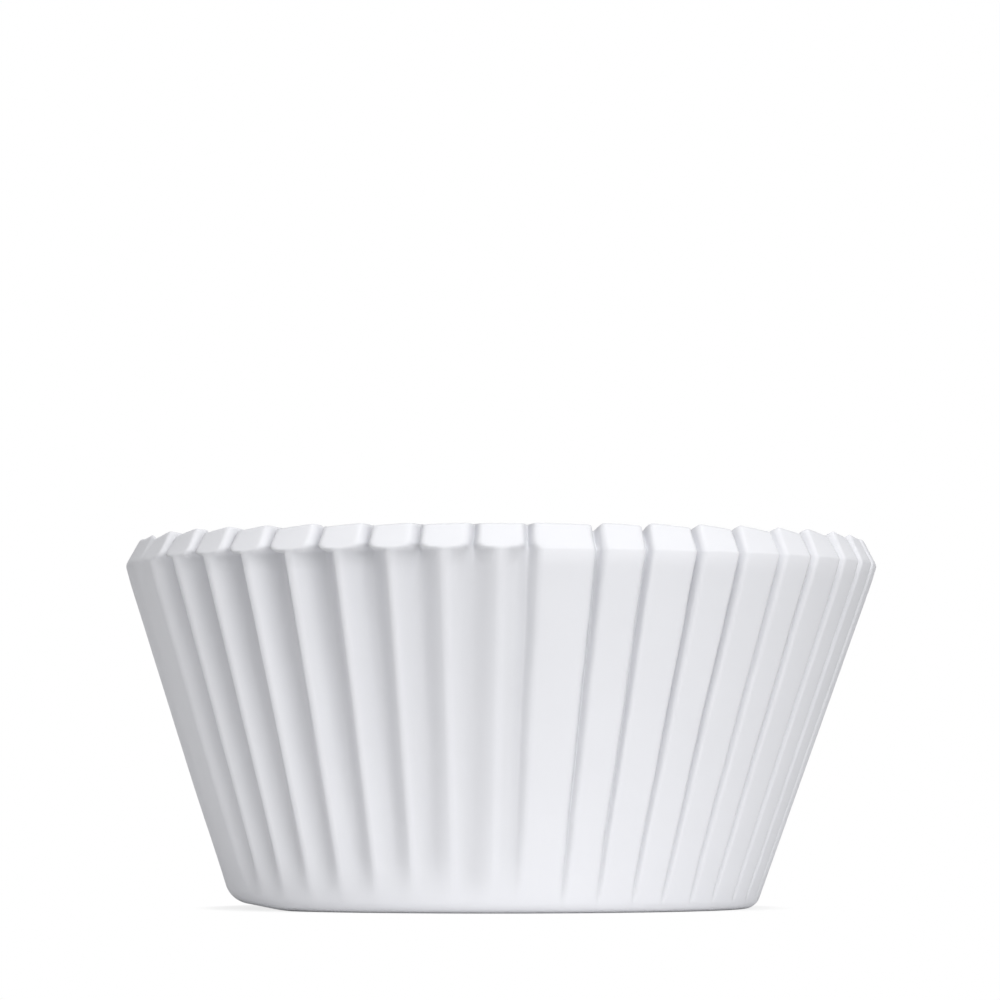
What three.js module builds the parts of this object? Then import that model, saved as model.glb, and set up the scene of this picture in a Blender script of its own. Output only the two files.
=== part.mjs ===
// Paper baking cup: one round sheet of greaseproof paper, pressed into a fluted cup.
// Millimetres, +Z up, origin at the middle of the underside of the base.
import * as THREE from 'three';

// Driving dimensions
const baseDiameter = 50;
const baseCornerRadius = 1.5;
const wallHeight = 32.3;
const wallLeanDegrees = 18.2;
const rimBandHeight = 2.4;
const rimBandInset = 1;
const grooveEdgeRise = 0.4;
const paperThickness = 0.1;
const fluteCount = 44;

// Share of a flute's width that its crest takes at half depth, on the wall and at the paper's edge
const wallCrestShare = 0.62;
const edgeCrestShare = 0.72;

// How finely the sheet is divided into facets
const stepsPerHalfFlute = 4;
const grooveCrowding = 1.2;
const cornerSteps = 2;
const wallSteps = 4;
const lengthSamples = 96;

const paper = new THREE.MeshStandardMaterial({ color: 0xf6f6f4, roughness: 0.85, metalness: 0 });

const wallLean = THREE.MathUtils.degToRad(wallLeanDegrees);
const pointsPerFlute = 2 * stepsPerHalfFlute;
const pointsPerRing = fluteCount * pointsPerFlute;
const fluteAngle = (2 * Math.PI) / fluteCount;

// Exponent of the cosine whose half-depth width leaves the crest its share of the flute
function grooveExponent(crestShare) {
  return Math.log(0.5) / Math.log(Math.sin((Math.PI * crestShare) / 2));
}

// 1 in the middle of a groove and 0 on top of a crest. place runs from -0.5 to 0.5 across one flute.
function grooveProfile(place, exponent) {
  return Math.pow(Math.abs(Math.cos(Math.PI * place)), exponent);
}

// Length of paper across one flute, followed down into the groove and up again
function paperAcrossFlute(radius, depth, exponent) {
  const point = (step) => {
    const place = step / lengthSamples - 0.5;
    const reach = radius - depth * grooveProfile(place, exponent);
    const angle = place * fluteAngle;
    return new THREE.Vector2(reach * Math.cos(angle), reach * Math.sin(angle));
  };
  let length = 0;
  for (let step = 0; step < lengthSamples; step += 1) {
    length += point(step).distanceTo(point(step + 1));
  }
  return length;
}

// The flat sheet is wider than the cup is at every height, and the grooves take up what is over.
// The depth is the one at which the flutes hold a full circle of the sheet.
function grooveDepth(radius, distanceFromCentre, exponent) {
  const wanted = distanceFromCentre * fluteAngle;
  let shallow = 0;
  let deep = radius;
  let middle = (shallow + deep) / 2;
  while (middle > shallow && middle < deep) {
    if (paperAcrossFlute(radius, middle, exponent) < wanted) {
      shallow = middle;
    } else {
      deep = middle;
    }
    middle = (shallow + deep) / 2;
  }
  return middle;
}

// Rings from the flat of the base up to the paper's edge. radius and height are those of the crests,
// and paper is the distance from the middle of the sheet, measured along it.
function sheetRings() {
  const cornerTurn = Math.PI / 2 - wallLean;
  const flatRadius = baseDiameter / 2 - baseCornerRadius * Math.tan(cornerTurn / 2);
  const wallExponent = grooveExponent(wallCrestShare);
  const rings = [];
  for (let step = 0; step <= cornerSteps; step += 1) {
    const turn = (cornerTurn * step) / cornerSteps;
    rings.push({
      radius: flatRadius + baseCornerRadius * Math.sin(turn),
      height: baseCornerRadius * (1 - Math.cos(turn)),
      paper: flatRadius + baseCornerRadius * turn,
      exponent: wallExponent,
      grooveRise: 0,
    });
  }

  // The grooves deepen fastest low on the wall, so the rings are closest there
  const foot = rings[rings.length - 1];
  const slantLength = (wallHeight - foot.height) / Math.cos(wallLean);
  for (let step = 1; step <= wallSteps; step += 1) {
    const climbed = slantLength * (step / wallSteps) ** 2;
    rings.push({
      radius: foot.radius + climbed * Math.sin(wallLean),
      height: foot.height + climbed * Math.cos(wallLean),
      paper: foot.paper + climbed,
      exponent: wallExponent,
      grooveRise: 0,
    });
  }

  // Paper runs more steeply up a groove than up a crest, so its edge ends higher there
  const crease = rings[rings.length - 1];
  rings.push({
    radius: crease.radius - rimBandInset,
    height: crease.height + rimBandHeight,
    paper: crease.paper + Math.hypot(rimBandHeight, rimBandInset),
    exponent: grooveExponent(edgeCrestShare),
    grooveRise: grooveEdgeRise,
  });
  return rings;
}

// Place across the flute of each point of a ring, closer together in the groove than on the crest
function placeAcrossFlute(column) {
  const fromGroove = (column % pointsPerFlute) - stepsPerHalfFlute;
  const share = Math.abs(fromGroove) / stepsPerHalfFlute;
  return 0.5 * Math.sign(fromGroove) * Math.pow(share, grooveCrowding);
}

// Outer face of the sheet: the middle of the base first, then the rings, which start on a crest
function outerFace(rings) {
  const points = [0, 0, 0];
  for (const ring of rings) {
    const depth = grooveDepth(ring.radius, ring.paper, ring.exponent);
    for (let column = 0; column < pointsPerRing; column += 1) {
      const place = placeAcrossFlute(column);
      const flute = Math.floor(column / pointsPerFlute);
      const angle = (flute + place + 0.5) * fluteAngle;
      const groove = grooveProfile(place, ring.exponent);
      const reach = ring.radius - depth * groove;
      const height = ring.height + ring.grooveRise * groove;
      points.push(reach * Math.cos(angle), reach * Math.sin(angle), height);
    }
  }

  const ringPoint = (ring, column) => 1 + ring * pointsPerRing + (column % pointsPerRing);
  const triangles = [];
  for (let column = 0; column < pointsPerRing; column += 1) {
    triangles.push(0, ringPoint(0, column + 1), ringPoint(0, column));
    const beforeGroove = column % pointsPerFlute < stepsPerHalfFlute;
    for (let ring = 0; ring < rings.length - 1; ring += 1) {
      const low = ringPoint(ring, column);
      const lowNext = ringPoint(ring, column + 1);
      const high = ringPoint(ring + 1, column);
      const highNext = ringPoint(ring + 1, column + 1);
      if (beforeGroove) {
        triangles.push(low, lowNext, highNext, low, highNext, high);
      } else {
        triangles.push(low, lowNext, high, lowNext, highNext, high);
      }
    }
  }
  const face = new THREE.BufferGeometry();
  face.setAttribute('position', new THREE.Float32BufferAttribute(points, 3));
  face.setIndex(triangles);
  face.computeVertexNormals();
  return face;
}

// The whole sheet: its outer face, the same face set in by the paper's thickness, and the cut edge
function sheetGeometry() {
  const rings = sheetRings();
  const face = outerFace(rings);
  const outer = face.getAttribute('position');
  const normal = face.getAttribute('normal');
  const points = Array.from(outer.array);
  for (let index = 0; index < outer.count; index += 1) {
    points.push(
      outer.getX(index) - paperThickness * normal.getX(index),
      outer.getY(index) - paperThickness * normal.getY(index),
      outer.getZ(index) - paperThickness * normal.getZ(index),
    );
  }

  const outerTriangles = Array.from(face.getIndex().array);
  const innerTriangles = outerTriangles.map((index) => index + outer.count).reverse();
  const edgeTriangles = [];
  const edgeStart = outer.count - pointsPerRing;
  for (let column = 0; column < pointsPerRing; column += 1) {
    const here = edgeStart + column;
    const next = edgeStart + ((column + 1) % pointsPerRing);
    edgeTriangles.push(here, next, next + outer.count, here, next + outer.count, here + outer.count);
  }

  const sheet = new THREE.BufferGeometry();
  sheet.setAttribute('position', new THREE.Float32BufferAttribute(points, 3));
  sheet.setIndex([...outerTriangles, ...innerTriangles, ...edgeTriangles]);
  sheet.computeVertexNormals();
  return sheet;
}

const bakingCup = new THREE.Group();
const cupSheet = new THREE.Mesh(sheetGeometry(), paper);
cupSheet.name = 'fluted_cup';
bakingCup.add(cupSheet);

export default bakingCup;
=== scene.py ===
"""Looks of a white fluted paper baking cup that stands upright on a plain white floor."""

import logging
import math
from dataclasses import dataclass, field
from enum import Enum

import bpy
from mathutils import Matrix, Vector

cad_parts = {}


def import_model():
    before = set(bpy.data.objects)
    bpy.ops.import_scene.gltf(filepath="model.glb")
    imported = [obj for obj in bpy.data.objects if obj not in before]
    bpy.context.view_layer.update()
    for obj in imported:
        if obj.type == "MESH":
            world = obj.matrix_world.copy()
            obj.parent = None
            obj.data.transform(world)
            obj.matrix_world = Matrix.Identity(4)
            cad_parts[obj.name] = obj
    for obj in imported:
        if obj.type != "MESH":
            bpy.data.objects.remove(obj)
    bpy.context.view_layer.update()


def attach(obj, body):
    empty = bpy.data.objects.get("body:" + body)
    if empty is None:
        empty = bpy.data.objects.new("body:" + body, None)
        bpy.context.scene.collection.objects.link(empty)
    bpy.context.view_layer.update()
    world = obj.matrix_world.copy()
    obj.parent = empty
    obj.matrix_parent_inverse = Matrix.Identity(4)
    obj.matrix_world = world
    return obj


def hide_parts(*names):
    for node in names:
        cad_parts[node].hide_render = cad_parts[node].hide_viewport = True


log = logging.getLogger("baking_cup")

MM = 0.001
CUP_NODE = "fluted_cup"
PAPER_SLOT = "white_paper"
# Name of the fold-depth mask that paints shade into the paper's colour in the grooves
PAINTED_SHADE_MASK = "fold"

Socket = bpy.types.NodeSocket
Value = Socket | float


class Op(Enum):
    """Arithmetic that the sheet's rule uses, by Blender's names."""

    ADD = "ADD"
    SUBTRACT = "SUBTRACT"
    MULTIPLY = "MULTIPLY"
    DIVIDE = "DIVIDE"
    POWER = "POWER"
    ROOT = "SQRT"
    SINE = "SINE"
    COSINE = "COSINE"
    TANGENT = "TANGENT"
    ABSOLUTE = "ABSOLUTE"
    LEAST = "MINIMUM"
    MOST = "MAXIMUM"
    SOFT_LEAST = "SMOOTH_MIN"
    ROUND = "ROUND"
    SIGN = "SIGN"
    WRAP = "WRAP"


@dataclass(frozen=True)
class Noise:
    """One pattern of smooth noise: waves per unit, pick of pattern and octaves."""

    scale: float
    seed: float
    detail: float = 2.0


class SheetTree:
    """A Geometry Nodes tree with short calls for sums, noise and inputs."""

    def __init__(self, name: str) -> None:
        """Start an empty tree.

        Args:
            name: Name of the node group.
        """
        self.group = bpy.data.node_groups.new(name, "GeometryNodeTree")
        self.group.interface.new_socket("Geometry", in_out="OUTPUT", socket_type="NodeSocketGeometry")
        self.inlet = self.node("NodeGroupInput")
        self.outlet = self.node("NodeGroupOutput")

    def node(self, kind: str, **settings: object) -> bpy.types.Node:
        """Add a node.

        Args:
            kind: Blender's node type.
            settings: Properties to set on the node.

        Returns:
            The new node.
        """
        made = self.group.nodes.new(kind)
        for name, value in settings.items():
            setattr(made, name, value)
        return made

    def feed(self, socket: Socket, value: object) -> None:
        """Link a socket to another, or set its value.

        Args:
            socket: The input socket.
            value: An output socket, or a plain value.
        """
        if isinstance(value, bpy.types.NodeSocket):
            self.group.links.new(value, socket)
        else:
            socket.default_value = value

    def input(self, name: str) -> Socket:
        """Add a named number to the tree's inputs.

        Args:
            name: The input's name, as the modifier shows it.

        Returns:
            The socket that carries the input inside the tree.
        """
        self.group.interface.new_socket(name, in_out="INPUT", socket_type="NodeSocketFloat")
        return self.inlet.outputs[name]

    def math(self, op: Op, *values: Value) -> Socket:
        """Work out one sum.

        Args:
            op: The arithmetic to do.
            values: Its one to three operands.

        Returns:
            The result.
        """
        made = self.node("ShaderNodeMath", operation=op.value)
        for socket, value in zip(made.inputs, values):
            self.feed(socket, value)
        return made.outputs[0]

    def times(self, first: Value, *others: Value) -> Socket:
        """Multiply numbers together.

        Args:
            first: The first number.
            others: The others, one or more.

        Returns:
            Their product.
        """
        product = first
        for other in others:
            product = self.math(Op.MULTIPLY, product, other)
        return product

    def plus(self, first: Value, *others: Value) -> Socket:
        """Add numbers together.

        Args:
            first: The first number.
            others: The others, one or more.

        Returns:
            Their sum.
        """
        total = first
        for other in others:
            total = self.math(Op.ADD, total, other)
        return total

    def minus(self, start: Value, taken: Value) -> Socket:
        """Take one number from another.

        Args:
            start: The number to take from.
            taken: The number to take.

        Returns:
            The difference.
        """
        return self.math(Op.SUBTRACT, start, taken)

    def over(self, top: Value, bottom: Value) -> Socket:
        """Divide one number by another.

        Args:
            top: The number to divide.
            bottom: The number to divide by.

        Returns:
            The quotient.
        """
        return self.math(Op.DIVIDE, top, bottom)

    def power(self, base: Value, exponent: Value) -> Socket:
        """Raise a number to a power.

        Args:
            base: The number to raise.
            exponent: The power.

        Returns:
            The result.
        """
        return self.math(Op.POWER, base, exponent)

    def blend(self, share: Value, start: Value, end: Value) -> Socket:
        """Mix two numbers.

        Args:
            share: 0 for the first, 1 for the second.
            start: The first number.
            end: The second number.

        Returns:
            The mixed number.
        """
        made = self.node("ShaderNodeMix", data_type="FLOAT")
        self.feed(made.inputs[0], share)

        # Input 1 is the share of a mix of vectors
        self.feed(made.inputs[2], start)
        self.feed(made.inputs[3], end)
        return made.outputs[0]

    def ramp(self, value: Value, low: Value, high: Value) -> Socket:
        """Rise smoothly from 0 to 1.

        Args:
            value: The number that drives the rise.
            low: Where the rise starts.
            high: Where it ends.

        Returns:
            A number from 0 to 1.
        """
        made = self.node("ShaderNodeMapRange", interpolation_type="SMOOTHSTEP")
        for socket, number in zip(made.inputs, (value, low, high)):
            self.feed(socket, number)
        return made.outputs[0]

    def share(self, value: Value, low: Value, high: Value) -> Socket:
        """Rise in a straight line from 0 to 1.

        Args:
            value: The number that drives the rise.
            low: Where the rise starts.
            high: Where it ends.

        Returns:
            A number from 0 to 1.
        """
        made = self.node("ShaderNodeMapRange")
        for socket, number in zip(made.inputs, (value, low, high)):
            self.feed(socket, number)
        return made.outputs[0]

    def vector(self, *values: Value) -> Socket:
        """Join three numbers into a vector.

        Args:
            values: X, Y and Z.

        Returns:
            The vector.
        """
        made = self.node("ShaderNodeCombineXYZ")
        for socket, value in zip(made.inputs, values):
            self.feed(socket, value)
        return made.outputs[0]

    def noise(self, place: Socket, pattern: Noise) -> Socket:
        """Read smooth noise.

        Args:
            place: Where to read it.
            pattern: The noise to read.

        Returns:
            A number from about -0.5 to 0.5.
        """
        made = self.node("ShaderNodeTexNoise", noise_dimensions="4D")
        self.feed(made.inputs["Vector"], place)
        self.feed(made.inputs["W"], pattern.seed)
        self.feed(made.inputs["Scale"], pattern.scale)
        self.feed(made.inputs["Detail"], pattern.detail)
        return self.minus(made.outputs[0], 0.5)


@dataclass(frozen=True)
class PaperFinish:
    """Uncoated white greaseproof paper: matt, with faint fibres and clouding, and painted shade that
    darkens its colour in the grooves.
    """

    name: str = PAPER_SLOT
    colour: tuple[float, float, float] = (0.785, 0.79, 0.82)
    clouded: tuple[float, float, float] = (0.76, 0.765, 0.795)
    # Painted shade: the share by which the colour is darkened at the bottom of a groove
    painted_fold_shade: float = 0.13
    roughness: float = 0.8
    specular: float = 0.3
    fibre_scale: float = 2600.0
    fibre_detail: float = 4.0
    cloud_scale: float = 160.0
    cloud_detail: float = 5.0
    bump_strength: float = 0.12
    bump_height: float = 0.00004

    def material(self) -> bpy.types.Material:
        """Build the paper's material.

        Returns:
            The material, patterned on the piece's own coordinates.
        """
        paper = bpy.data.materials.new(self.name)
        paper.use_nodes = True
        nodes = paper.node_tree.nodes
        links = paper.node_tree.links
        shader = nodes["Principled BSDF"]
        shader.inputs["Roughness"].default_value = self.roughness
        shader.inputs["Specular IOR Level"].default_value = self.specular

        place = nodes.new("ShaderNodeTexCoord").outputs["Object"]
        clouds = nodes.new("ShaderNodeTexNoise")
        clouds.inputs["Scale"].default_value = self.cloud_scale
        clouds.inputs["Detail"].default_value = self.cloud_detail
        links.new(place, clouds.inputs["Vector"])

        tint = nodes.new("ShaderNodeMix")
        tint.data_type = "RGBA"
        tint.inputs["A"].default_value = (*self.colour, 1.0)
        tint.inputs["B"].default_value = (*self.clouded, 1.0)
        links.new(clouds.outputs["Fac"], tint.inputs["Factor"])

        # Painted shade: the colour is darkened where the paper lies deep in a groove, in step with
        # the fold-depth mask
        fold = nodes.new("ShaderNodeAttribute")
        fold.attribute_name = PAINTED_SHADE_MASK
        painted_shade = nodes.new("ShaderNodeMath")
        painted_shade.operation = "MULTIPLY_ADD"
        links.new(fold.outputs["Fac"], painted_shade.inputs[0])
        painted_shade.inputs[1].default_value = -self.painted_fold_shade
        painted_shade.inputs[2].default_value = 1.0
        colour = nodes.new("ShaderNodeVectorMath")
        colour.operation = "SCALE"
        links.new(tint.outputs["Result"], colour.inputs[0])
        links.new(painted_shade.outputs[0], colour.inputs["Scale"])
        links.new(colour.outputs[0], shader.inputs["Base Color"])

        fibres = nodes.new("ShaderNodeTexNoise")
        fibres.inputs["Scale"].default_value = self.fibre_scale
        fibres.inputs["Detail"].default_value = self.fibre_detail
        links.new(place, fibres.inputs["Vector"])
        bump = nodes.new("ShaderNodeBump")
        bump.inputs["Strength"].default_value = self.bump_strength
        bump.inputs["Distance"].default_value = self.bump_height
        links.new(fibres.outputs["Fac"], bump.inputs["Height"])
        links.new(bump.outputs["Normal"], shader.inputs["Normal"])
        return paper


@dataclass
class FlutedCup:
    """The pressed sheet: flat base, rounded corner, fluted wall and turned-in rim, in metres."""

    base_radius: float = 24.85 * MM
    corner_radius: float = 1.5 * MM
    wall_lean: float = math.radians(18.7)
    wall_height: float = 32.3 * MM
    band_height: float = 2.4 * MM
    band_inset: float = 1.3 * MM
    paper_thickness: float = 0.1 * MM
    flutes: int = 44

    # Fold factor stretches the length of paper in a flute from that of a plain wave
    fold_factor: float = 1.22
    left_groove_power: float = 1.35
    right_groove_power: float = 60.0
    edge_groove_power: float = 45.0
    left_depth: float = 1.1
    right_depth: float = 0.5
    edge_depth: float = 0.5
    edge_blend: float = 0.3
    left_fade: float = 4.5 * MM
    right_fade: float = 1.5 * MM
    fade_start: float = 0.5
    fade_spread: float = 2.0
    depth_spread: float = 0.25

    # Handling has left the cup uneven
    unevenness: float = 1.0
    limb_ease: float = 0.97
    soft_corner_radius: float = 2.6 * MM
    left_lift: float = 0.45 * MM
    lift_start: float = 0.8
    lift_fade: float = 12.0 * MM
    side_lean: float = 0.7 * MM
    right_edge_dip: float = 0.6 * MM
    edge_tilt: float = 0.45 * MM
    crease_softness: float = 0.12 * MM
    limb_softness: float = 0.6 * MM
    slip: float = math.radians(1.9)
    slip_rise: tuple[float, float] = (math.radians(4), math.radians(14))
    slip_fall: tuple[float, float] = (math.radians(14), math.radians(55))
    shift_share: float = 0.3
    wobble: float = 0.12
    flutter: float = 0.05
    wobbles_per_metre: float = 90.0
    crinkle: float = 0.05 * MM
    crinkle_start: float = 3.0 * MM

    # Where a change starts and ends, by the sine of the angle from the front: -1 is far left
    right_from: tuple[float, float] = (0.02, 0.26)
    depth_changes: tuple[float, float] = (-0.45, 0.0)
    flutes_ease: tuple[float, float] = (-0.86, -0.93)
    corner_softens: tuple[float, float] = (-0.6, -1.0)
    base_lifts: tuple[float, float] = (-0.78, -1.0)
    crease_softens: tuple[float, float] = (0.7, 1.0)

    # The same by the cosine: 1 is in front
    tilt_begins: tuple[float, float] = (0.15, 0.5)

    # The mesh: rows end at these shares on the base, the corner and the wall
    columns_per_flute: int = 18
    rows: int = 56
    row_shares: tuple[float, float, float] = (0.1, 0.3, 0.8)
    row_crowding: float = 1.3
    groove_crowding: float = 1.8
    merge_distance: float = 1e-6

    seed: float = 3.0
    shift_noise: Noise = Noise(0.73, 1.0)
    depth_noise: Noise = Noise(0.61, 7.0)
    fade_noise: Noise = Noise(0.87, 5.0)
    wobble_noise: Noise = Noise(1.0, 4.0)
    flutter_noise: Noise = Noise(5.5, 6.0)
    crinkle_noise: Noise = Noise(16.0, 2.0, 3.0)
    finish: PaperFinish = field(default_factory=PaperFinish)

    def settings(self) -> dict[str, float]:
        """List the tree's inputs.

        Returns:
            Each input's name and value.
        """
        return {
            "Flutes": float(self.flutes),
            "Base radius": self.base_radius,
            "Corner radius": self.corner_radius,
            "Soft corner radius": self.soft_corner_radius,
            "Wall lean": self.wall_lean,
            "Wall height": self.wall_height,
            "Band height": self.band_height,
            "Band inset": self.band_inset,
            "Right edge dip": self.right_edge_dip,
            "Edge depth": self.edge_depth,
            "Crease softness": self.crease_softness,
            "Limb softness": self.limb_softness,
            "Paper thickness": self.paper_thickness,
            "Left groove power": self.left_groove_power,
            "Right groove power": self.right_groove_power,
            "Edge groove power": self.edge_groove_power,
            "Edge tilt": self.edge_tilt,
            "Left depth": self.left_depth,
            "Right depth": self.right_depth,
            "Limb ease": self.limb_ease,
            "Fold factor": self.fold_factor,
            "Left fade": self.left_fade,
            "Right fade": self.right_fade,
            "Slip": self.slip,
            "Wobble": self.wobble,
            "Flutter": self.flutter,
            "Left lift": self.left_lift,
            "Crinkle": self.crinkle,
            "Side lean": self.side_lean,
            "Seed": self.seed,
            "Unevenness": self.unevenness,
        }

    def build(self) -> bpy.types.Object:
        """Press the sheet and turn it into a plain mesh.

        Returns:
            The cup, at the origin.
        """
        group = PressedSheet(self).tree(self.finish.material())
        blank = bpy.data.objects.new("blank_sheet", bpy.data.meshes.new("blank_sheet"))
        bpy.context.scene.collection.objects.link(blank)
        press = blank.modifiers.new("press", "NODES")
        press.node_group = group
        values = self.settings()
        for item in group.interface.items_tree:
            if item.in_out == "INPUT" and item.name in values:
                press[item.identifier] = values[item.name]
        evaluated = blank.evaluated_get(bpy.context.evaluated_depsgraph_get())
        mesh = bpy.data.meshes.new_from_object(evaluated)
        mesh.name = "pressed_cup"
        bpy.data.objects.remove(blank)
        cup = bpy.data.objects.new("pressed_cup", mesh)
        bpy.context.scene.collection.objects.link(cup)
        return cup


class PressedSheet:
    """The steps, in a Geometry Nodes tree, that press the flat sheet into the cup."""

    def __init__(self, cup: FlutedCup) -> None:
        """Start a tree with the cup's sizes as its inputs, and work out the form.

        Args:
            cup: The cup to press.
        """
        self.cup = cup
        self.t = SheetTree("pressed_sheet")
        self.size = {name: self.t.input(name) for name in cup.settings()}
        self.lay_flat()
        self.place_columns()
        self.share_rows()
        self.draw_crest()
        self.shape_grooves()
        self.sink_grooves()

    def lay_flat(self) -> None:
        """Lay the sheet flat: X runs round the cup, flute by flute, and Y from middle to edge."""
        t, cup = self.t, self.cup
        grid = t.node("GeometryNodeMeshGrid")
        t.feed(grid.inputs["Size X"], 1.0)
        t.feed(grid.inputs["Size Y"], 1.0)
        t.feed(grid.inputs["Vertices X"], cup.flutes * cup.columns_per_flute + 1)
        t.feed(grid.inputs["Vertices Y"], cup.rows)
        self.sheet = grid.outputs["Mesh"]
        flat = t.node("ShaderNodeSeparateXYZ")
        t.feed(flat.inputs[0], t.node("GeometryNodeInputPosition").outputs[0])
        self.around = t.plus(t.times(flat.outputs[0], self.size["Flutes"]), 0.5)
        self.step = t.plus(flat.outputs[1], 0.5)

    def place_columns(self) -> None:
        """Crowd the columns into the grooves, at the whole numbers, and place them round the cup."""
        t, cup, size = self.t, self.cup, self.size
        nearest = t.math(Op.ROUND, self.around)
        off = t.minus(self.around, nearest)
        crowded = t.power(t.times(t.math(Op.ABSOLUTE, off), 2.0), cup.groove_crowding)
        self.aside = t.times(crowded, 0.5, t.math(Op.SIGN, off))
        self.index = t.math(Op.WRAP, nearest, size["Flutes"], 0.0)

        # The paper has slid beside one flute, which is wider
        even = t.times(
            t.minus(t.plus(nearest, self.aside), 0.5), t.over(2.0 * math.pi, size["Flutes"])
        )
        slid = t.times(t.ramp(even, *cup.slip_rise), t.minus(1.0, t.ramp(even, *cup.slip_fall)))
        angle = t.plus(even, t.times(size["Slip"], slid))
        self.side = t.math(Op.SINE, angle)
        self.front = t.math(Op.COSINE, angle)
        self.rightness = t.ramp(self.side, *cup.right_from)

    def share_rows(self) -> None:
        """Share the rows out over base, corner, wall and rim, as lengths along the crests."""
        t, cup, size = self.t, self.cup, self.size
        softened = t.ramp(self.side, *cup.corner_softens)
        self.corner = t.blend(softened, size["Corner radius"], size["Soft corner radius"])
        turn = t.minus(math.pi / 2, size["Wall lean"])
        setback = t.times(self.corner, t.math(Op.TANGENT, t.over(turn, 2.0)))
        self.flat_length = t.minus(size["Base radius"], setback)
        self.corner_length = t.times(self.corner, turn)
        corner_rise = t.times(self.corner, t.minus(1.0, t.math(Op.COSINE, turn)))
        self.wall_length = t.over(
            t.minus(size["Wall height"], corner_rise), t.math(Op.COSINE, size["Wall lean"])
        )
        band_square = t.plus(t.power(size["Band height"], 2.0), t.power(size["Band inset"], 2.0))
        self.band_length = t.math(Op.ROOT, band_square)

        base_end, corner_end, wall_end = cup.row_shares
        on_base = t.math(Op.LEAST, t.over(self.step, base_end), 1.0)
        on_corner = t.share(self.step, base_end, corner_end)
        on_wall = t.share(self.step, corner_end, wall_end)
        on_band = t.share(self.step, wall_end, 1.0)
        self.climb = t.plus(
            t.times(self.wall_length, t.power(on_wall, cup.row_crowding)),
            t.times(self.band_length, on_band),
        )
        self.corner_run = t.times(self.corner_length, on_corner)
        self.base_run = t.times(self.flat_length, on_base)
        self.paper_run = t.plus(self.base_run, self.corner_run, self.climb)

    def draw_crest(self) -> None:
        """Follow the crest line in the upright plane, softly over the crease."""
        t, cup, size = self.t, self.cup, self.size
        bend = t.over(self.corner_run, self.corner)
        limb = t.ramp(t.math(Op.ABSOLUTE, self.side), *cup.crease_softens)
        softness = t.blend(limb, size["Crease softness"], size["Limb softness"])
        wall_run = t.math(Op.SOFT_LEAST, self.climb, self.wall_length, softness)
        self.band_share = t.over(t.minus(self.climb, wall_run), self.band_length)
        self.radius = t.plus(
            self.base_run,
            t.times(self.corner, t.math(Op.SINE, bend)),
            t.minus(
                t.times(wall_run, t.math(Op.SINE, size["Wall lean"])),
                t.times(size["Band inset"], self.band_share),
            ),
        )
        self.height = t.plus(
            t.times(self.corner, t.minus(1.0, t.math(Op.COSINE, bend))),
            t.times(wall_run, t.math(Op.COSINE, size["Wall lean"])),
            t.times(size["Band height"], self.band_share),
        )

    def shape_grooves(self) -> None:
        """Set each groove a little aside of its even place, and give it its profile."""
        t, cup, size = self.t, self.cup, self.size
        self.chance = t.vector(self.index, size["Seed"], 0.0)
        along = t.vector(self.index, t.times(self.climb, cup.wobbles_per_metre), size["Seed"])
        swerve = t.plus(
            t.times(t.noise(self.chance, cup.shift_noise), size["Unevenness"], cup.shift_share),
            t.times(t.noise(along, cup.wobble_noise), size["Wobble"]),
            t.times(t.noise(along, cup.flutter_noise), size["Flutter"]),
        )
        room = t.minus(1.0, t.times(4.0, t.power(self.aside, 2.0)))
        place = t.minus(self.aside, t.times(swerve, room))
        wall_power = t.blend(self.rightness, size["Left groove power"], size["Right groove power"])
        edge_power = t.blend(self.rightness, size["Edge groove power"], size["Right groove power"])
        self.on_edge = t.ramp(self.band_share, 0.0, cup.edge_blend)
        wave = t.math(Op.ABSOLUTE, t.math(Op.COSINE, t.times(place, math.pi)))
        self.groove = t.power(wave, t.blend(self.on_edge, wall_power, edge_power))

    def sink_grooves(self) -> None:
        """Sink the grooves, which take up what the sheet is wider than the cup."""
        t, cup, size = self.t, self.cup, self.size
        wider = t.minus(t.power(self.paper_run, 2.0), t.power(self.radius, 2.0))
        surplus = t.math(Op.MOST, wider, 0.0)
        depth = t.times(
            t.math(Op.ROOT, surplus), t.over(math.pi, t.times(size["Flutes"], size["Fold factor"]))
        )
        own_depth = t.plus(
            1.0, t.times(t.noise(self.chance, cup.depth_noise), size["Unevenness"], cup.depth_spread)
        )
        fade = t.times(
            t.blend(self.rightness, size["Left fade"], size["Right fade"]),
            t.plus(1.0, t.times(t.noise(self.chance, cup.fade_noise), cup.fade_spread)),
        )
        begun = t.ramp(
            t.plus(self.corner_run, self.climb),
            t.times(self.corner_length, cup.fade_start),
            t.plus(self.corner_length, fade),
        )
        eased = t.minus(1.0, t.times(size["Limb ease"], t.ramp(self.side, *cup.flutes_ease)))
        self.opened = t.times(begun, eased)
        wall_depth = t.blend(
            t.ramp(self.side, *cup.depth_changes), size["Left depth"], size["Right depth"]
        )
        kept = t.blend(self.on_edge, wall_depth, size["Edge depth"])
        self.sunk = t.times(depth, own_depth, self.groove, self.opened, kept)

    def edge_rise(self) -> Socket:
        """Tilt each crest's edge down away from the front, and dip it into the right grooves.

        Returns:
            How far the edge stands above the even edge.
        """
        t, cup, size = self.t, self.cup, self.size
        near_groove = t.times(
            t.minus(1.0, t.times(t.math(Op.ABSOLUTE, self.aside), 2.0)), t.minus(1.0, self.groove)
        )
        tilt = t.times(
            size["Edge tilt"],
            self.side,
            near_groove,
            t.math(Op.SIGN, self.aside),
            t.ramp(self.front, *cup.tilt_begins),
        )
        dip = t.times(size["Right edge dip"], self.rightness, self.groove)
        return t.times(t.minus(tilt, dip), self.band_share)

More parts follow.
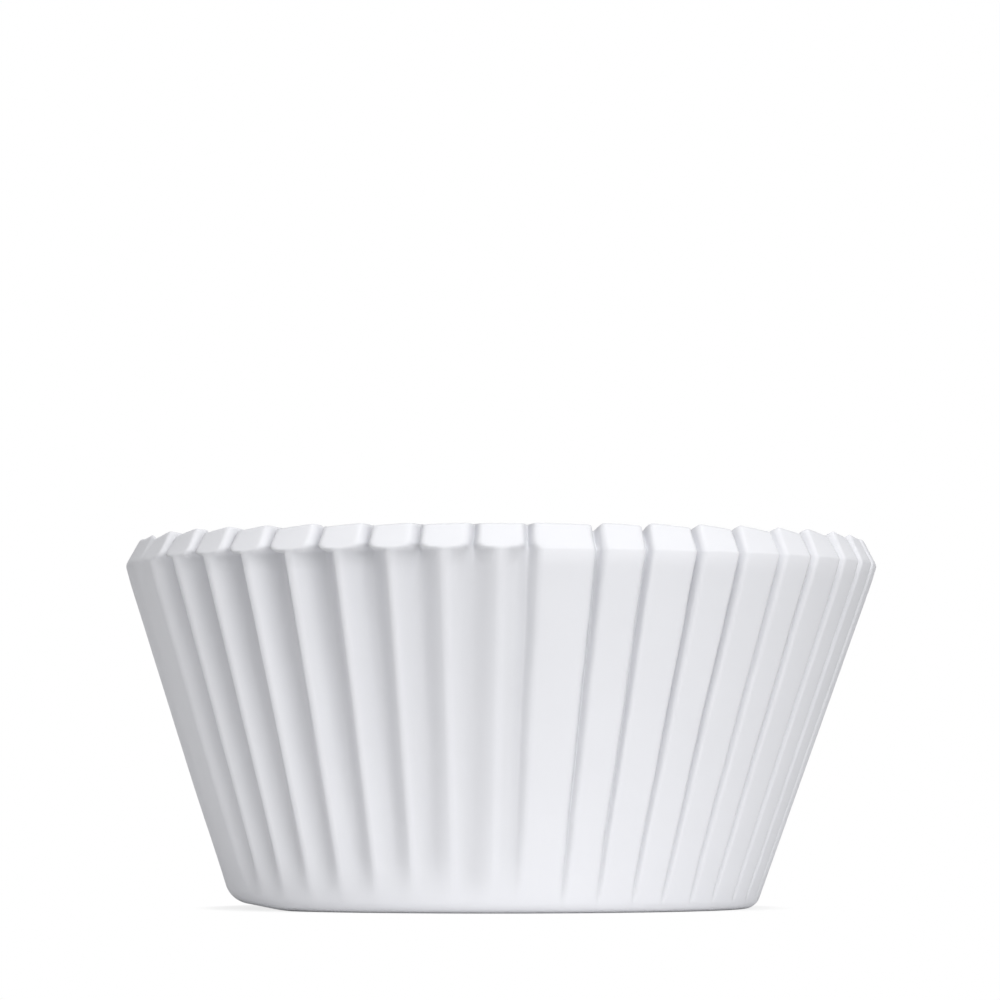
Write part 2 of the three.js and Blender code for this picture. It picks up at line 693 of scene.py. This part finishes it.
    def base_lift(self) -> Socket:
        """Lift the left edge of the base, and let the lift fade up the wall.

        Returns:
            How far a point is lifted.
        """
        t, cup, size = self.t, self.cup, self.size
        return t.times(
            size["Left lift"],
            t.ramp(self.side, *cup.base_lifts),
            t.ramp(self.base_run, t.times(self.flat_length, cup.lift_start), self.flat_length),
            t.minus(1.0, t.ramp(self.climb, 0.0, cup.lift_fade)),
        )

    def press(self) -> Socket:
        """Bring the sheet round the axis, front to -Y, with the whole wall leaning to the right.

        Returns:
            The outer face of the cup.
        """
        t, cup, size = self.t, self.cup, self.size

        # How deep each point lies in a fold is written on the sheet while it is still flat; the
        # paper's colour takes its painted shade from it
        marked = t.node("GeometryNodeStoreNamedAttribute", data_type="FLOAT", domain="POINT")
        t.feed(marked.inputs["Geometry"], self.sheet)
        t.feed(marked.inputs["Name"], PAINTED_SHADE_MASK)
        t.feed(marked.inputs["Value"], t.times(self.groove, self.opened))

        skin = t.vector(self.side, self.front, t.times(self.climb, 1.0 / cup.base_radius))
        crinkled = t.times(
            t.noise(skin, cup.crinkle_noise),
            size["Crinkle"],
            t.ramp(self.climb, 0.0, cup.crinkle_start),
        )
        reach = t.minus(t.plus(self.radius, crinkled), self.sunk)
        lean = t.times(size["Side lean"], t.over(self.height, size["Wall height"]))
        across = t.plus(t.times(reach, self.side), lean)
        back = t.times(reach, self.front, -1.0)
        top = t.plus(self.height, self.edge_rise(), self.base_lift())
        pressed = t.node("GeometryNodeSetPosition")
        t.feed(pressed.inputs["Geometry"], marked.outputs[0])
        t.feed(pressed.inputs["Position"], t.vector(across, back, top))
        return self.merge(pressed.outputs[0])

    def merge(self, mesh: Socket) -> Socket:
        """Join points that lie on each other.

        Args:
            mesh: The mesh to close.

        Returns:
            The closed mesh.
        """
        merged = self.t.node("GeometryNodeMergeByDistance")
        self.t.feed(merged.inputs["Geometry"], mesh)
        self.t.feed(merged.inputs["Distance"], self.cup.merge_distance)
        return merged.outputs[0]

    def thicken(self, face: Socket) -> Socket:
        """Add the paper's second face, set in by its thickness, and the cut edge between the two.

        Args:
            face: The outer face.

        Returns:
            The closed piece of paper.
        """
        t = self.t
        turned = t.node("GeometryNodeFlipFaces")
        t.feed(turned.inputs["Mesh"], face)
        inner = t.node("GeometryNodeExtrudeMesh", mode="FACES")
        t.feed(inner.inputs["Mesh"], turned.outputs[0])
        t.feed(inner.inputs["Offset Scale"], self.size["Paper thickness"])
        t.feed(inner.inputs["Individual"], False)
        both = t.node("GeometryNodeJoinGeometry")
        t.feed(both.inputs[0], inner.outputs["Mesh"])
        t.feed(both.inputs[0], face)
        return self.merge(both.outputs[0])

    def tree(self, paper: bpy.types.Material) -> bpy.types.NodeTree:
        """Finish the tree.

        Args:
            paper: The cup's material.

        Returns:
            The Geometry Nodes group.
        """
        t = self.t
        smooth = t.node("GeometryNodeSetShadeSmooth")
        t.feed(smooth.inputs["Geometry"], self.thicken(self.press()))
        real = t.node("GeometryNodeRealizeInstances")
        t.feed(real.inputs[0], smooth.outputs[0])
        dressed = t.node("GeometryNodeSetMaterial")
        t.feed(dressed.inputs["Geometry"], real.outputs[0])
        dressed.inputs["Material"].default_value = paper
        t.feed(t.outlet.inputs[0], dressed.outputs[0])
        return t.group


@dataclass(frozen=True)
class Lamp:
    """A soft square lamp, placed by its direction from the cup."""

    name: str
    azimuth: float
    elevation: float
    power: float
    distance: float = 1.0
    size: float = 0.5
    aim_height: float = 0.02

    def hang(self) -> None:
        """Hang the lamp and face it to the cup; azimuth 0 is in front and grows to the right."""
        light = bpy.data.lights.new(self.name, "AREA")
        light.shape = "SQUARE"
        light.size = self.size
        light.energy = self.power
        lamp = bpy.data.objects.new(self.name, light)
        turn = math.radians(self.azimuth)
        climb = math.radians(self.elevation)
        direction = Vector(
            (math.sin(turn) * math.cos(climb), -math.cos(turn) * math.cos(climb), math.sin(climb))
        )
        lamp.location = self.distance * direction
        aim = Vector((0.0, 0.0, self.aim_height)) - lamp.location
        lamp.rotation_euler = aim.to_track_quat("-Z", "Y").to_euler()
        bpy.context.scene.collection.objects.link(lamp)


@dataclass
class Studio:
    """White floor and backdrop, soft lamps and the camera.

    The floor's white and its glow to the camera change with the distance from the cup's axis, and
    floor_reach and shadow_reach say between which distances. The eye and the axis are placed by
    their row and columns in the picture.
    """

    image_size: float = 1000.0
    focal_pixels: float = 4995.0
    sensor_mm: float = 36.0
    camera_distance: float = 0.476
    eye_height: float = 0.01005
    eye_row: float = 802.0
    middle_column: float = 500.0
    axis_column: float = 493.7
    clip_start: float = 0.01
    floor_half: float = 3.0
    floor_roughness: float = 0.9
    floor_specular: float = 0.1
    floor_white: tuple[float, float] = (0.9, 0.55)
    shadow_reach: tuple[float, float] = (0.0255, 0.029)
    near_glow: float = 0.8
    dome: float = 0.272
    floor_reach: tuple[float, float] = (0.04, 0.16)
    lamps: tuple[Lamp, ...] = (
        Lamp("low_front_right", 25, 12, 3.27),
        Lamp("high_front", 0, 62, 2.09),
        Lamp("high_side_right", 60, 62, 1.94),
        Lamp("mid_front", 0, 35, 1.50),
        Lamp("low_left", -50, 12, 0.8),
        Lamp("mid_front_right", 25, 35, 0.54),
        Lamp("low_far_left", -75, 12, 0.15),
        Lamp("high_side_left", -60, 62, 0.22),
        Lamp("overhead", 0, 85, 0.7),
    )

    def floor(self) -> None:
        """Lay the white floor, which keeps the cup's shadow."""
        half = self.floor_half
        mesh = bpy.data.meshes.new("floor")
        corners = [(-half, -half, 0), (half, -half, 0), (half, half, 0), (-half, half, 0)]
        mesh.from_pydata(corners, [], [(0, 1, 2, 3)])
        floor = bpy.data.objects.new("floor", mesh)
        bpy.context.scene.collection.objects.link(floor)
        white = bpy.data.materials.new("white_floor")
        white.use_nodes = True
        nodes = white.node_tree.nodes
        links = white.node_tree.links
        shader = nodes["Principled BSDF"]
        shader.inputs["Roughness"].default_value = self.floor_roughness
        shader.inputs["Specular IOR Level"].default_value = self.floor_specular
        glow = nodes.new("ShaderNodeEmission")
        path = nodes.new("ShaderNodeLightPath")
        place = nodes.new("ShaderNodeTexCoord").outputs["Object"]
        distance = nodes.new("ShaderNodeVectorMath")
        distance.operation = "LENGTH"
        links.new(place, distance.inputs[0])
        spread = nodes.new("ShaderNodeMapRange")
        spread.interpolation_type = "SMOOTHSTEP"
        for socket, number in zip(spread.inputs[1:], (*self.floor_reach, *self.floor_white)):
            socket.default_value = number
        links.new(distance.outputs["Value"], spread.inputs["Value"])
        links.new(spread.outputs[0], shader.inputs["Base Color"])
        fade = nodes.new("ShaderNodeMapRange")
        fade.interpolation_type = "SMOOTHSTEP"
        for socket, number in zip(fade.inputs[1:], (*self.shadow_reach, self.near_glow)):
            socket.default_value = number
        links.new(distance.outputs["Value"], fade.inputs["Value"])
        share = nodes.new("ShaderNodeMath")
        share.operation = "MULTIPLY"
        links.new(fade.outputs[0], share.inputs[1])
        links.new(path.outputs["Is Camera Ray"], share.inputs[0])
        mix = nodes.new("ShaderNodeMixShader")
        links.new(share.outputs[0], mix.inputs[0])
        links.new(shader.outputs[0], mix.inputs[1])
        links.new(glow.outputs[0], mix.inputs[2])
        links.new(mix.outputs[0], nodes["Material Output"].inputs[0])
        mesh.materials.append(white)

    def lights(self) -> None:
        """Light the cup softly from above and from the front, more from the right."""
        world = bpy.data.worlds.new("studio")
        bpy.context.scene.world = world
        world.use_nodes = True
        nodes = world.node_tree.nodes
        links = world.node_tree.links
        background = nodes["Background"]
        background.inputs["Color"].default_value = (1, 1, 1, 1)
        path = nodes.new("ShaderNodeLightPath")
        strength = nodes.new("ShaderNodeMath")
        strength.operation = "MAXIMUM"
        links.new(path.outputs["Is Camera Ray"], strength.inputs[0])
        strength.inputs[1].default_value = self.dome
        links.new(strength.outputs[0], background.inputs["Strength"])
        for lamp in self.lamps:
            lamp.hang()

    def camera(self) -> None:
        """Stand the camera low in front of the cup, looking slightly up."""
        view = bpy.data.cameras.new("camera")
        view.sensor_width = self.sensor_mm
        view.lens = self.focal_pixels / self.image_size * self.sensor_mm
        view.clip_start = self.clip_start
        eye = bpy.data.objects.new("camera", view)
        pitch = math.atan((self.eye_row - self.image_size / 2) / self.focal_pixels)
        aside = (self.middle_column - self.axis_column) / self.focal_pixels * self.camera_distance
        eye.location = (aside, -self.camera_distance, self.eye_height)
        eye.rotation_euler = (math.pi / 2 + pitch, 0.0, 0.0)
        bpy.context.scene.collection.objects.link(eye)
        bpy.context.scene.camera = eye

    def build(self) -> None:
        """Set up floor, lamps and camera."""
        self.floor()
        self.lights()
        self.camera()
        bpy.context.scene.view_settings.view_transform = "Standard"


def main() -> None:
    """Load the frame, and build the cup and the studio."""
    logging.basicConfig(level=logging.INFO)
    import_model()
    cup = FlutedCup().build()
    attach(cup, "root")
    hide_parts(CUP_NODE)
    log.info("pressed cup: %d faces", len(cup.data.polygons))
    Studio().build()
    log.info("studio ready")


if __name__ == "__main__":
    main()
